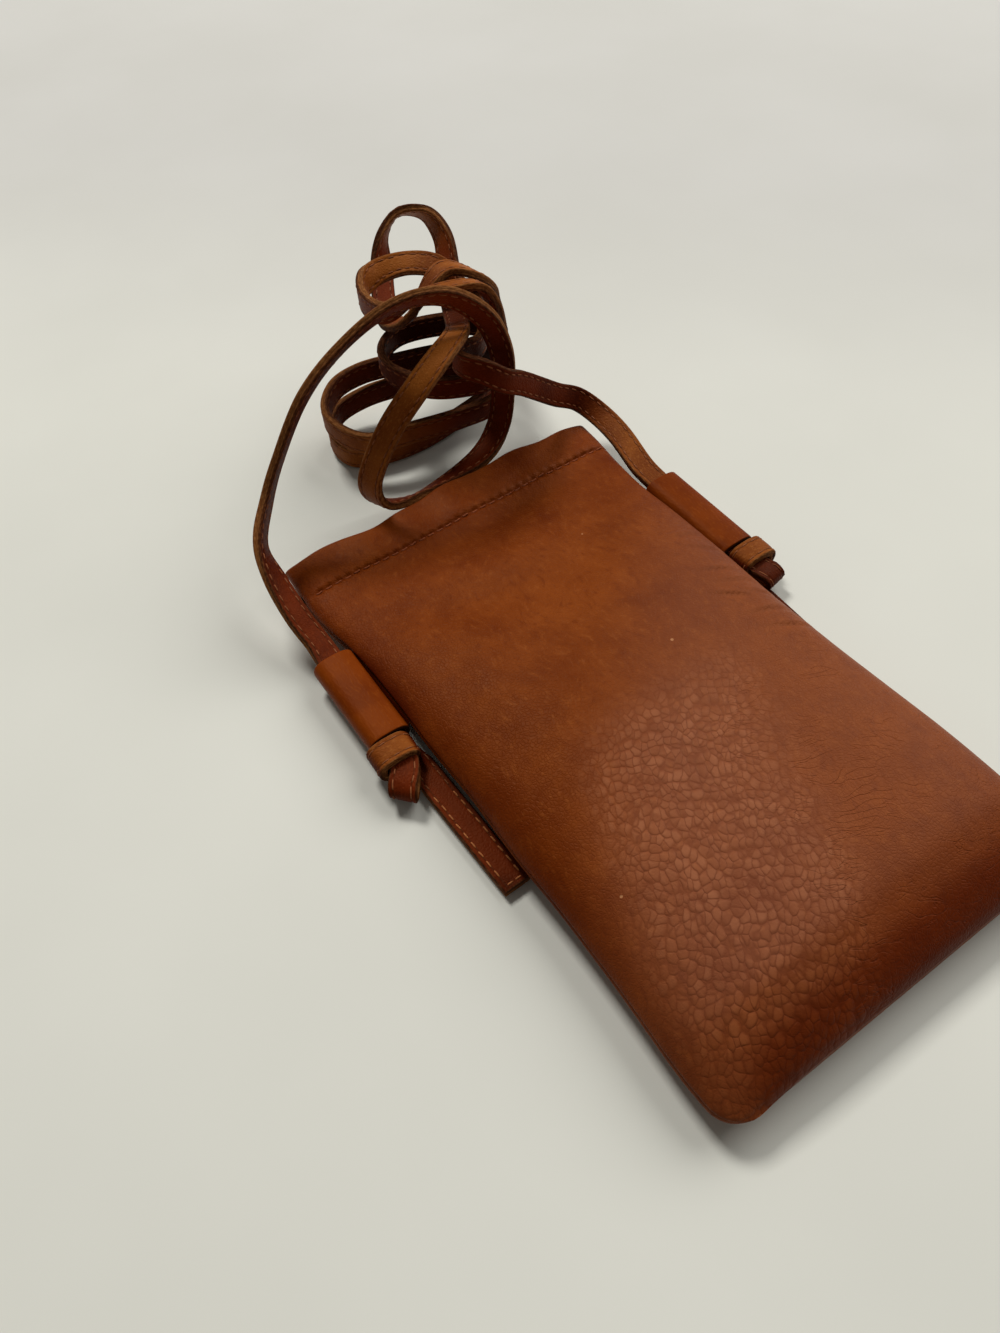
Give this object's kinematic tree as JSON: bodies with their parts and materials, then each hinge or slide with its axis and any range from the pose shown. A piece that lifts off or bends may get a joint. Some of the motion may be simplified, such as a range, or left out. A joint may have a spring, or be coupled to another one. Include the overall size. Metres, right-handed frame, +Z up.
{
  "type": "phone pouch",
  "caption": "Soft leather phone pouch lying on its back, with a spring-frame mouth, side loops and a long flat strap knotted at its ends and bunched past the mouth.",
  "frame": {"origin": "middle of the pouch on the table it lies on", "axes": "+X across the pouch to its right seen from the front with the mouth away, +Y along the pouch towards the mouth, +Z up out of the front panel"},
  "size_m": [0.124, 0.2541, 0.0629],
  "materials": {
    "panel_leather": "pebbled full-grain leather, satin, cognac brown",
    "hem_leather": "skived leather, matt flesh side",
    "loop_leather": "smooth thin leather, satin, orange tan",
    "strap_leather": "smooth cut strap leather with raw dark edges and two stitch rows",
    "thread": "waxed sewing thread, matt",
    "spring_steel": "rolled spring strip",
    "pin_steel": "polished pin"
  },
  "bodies": {
    "pouch": {"back_panel": "panel_leather", "back_hem": "hem_leather", "back_hem_stitches": "thread", "back_spring_strip": "spring_steel", "left_hinge_pin": "pin_steel", "right_hinge_pin": "pin_steel", "left_loop": "loop_leather", "right_loop": "loop_leather", "strap_left_run": "strap_leather", "strap_bundle": "strap_leather", "strap_right_run": "strap_leather"},
    "mouth_front": {"front_panel": "panel_leather", "front_hem": "hem_leather", "front_hem_stitches": "thread", "front_spring_strip": "spring_steel"},
    "left_strap_end": {"left_loop_strap": "strap_leather", "left_knot": "strap_leather", "left_tail": "strap_leather"},
    "right_strap_end": {"right_loop_strap": "strap_leather", "right_knot": "strap_leather", "right_tail": "strap_leather"}
  },
  "joints": [
    {"name": "mouth_open", "type": "hinge", "parent": "pouch", "child": "mouth_front", "pos_m": [0, -0.09, 0.008], "axis": [1, 0, 0], "range_deg": [0, 9], "stiffness_Nm_per_rad": 3},
    {"name": "left_strap_slide", "type": "slide", "parent": "pouch", "child": "left_strap_end", "axis": [0, -1, 0], "range_m": [0, 0.015]},
    {"name": "right_strap_slide", "type": "slide", "parent": "pouch", "child": "right_strap_end", "axis": [0, -1, 0], "range_m": [0, 0.015]}
  ]
}
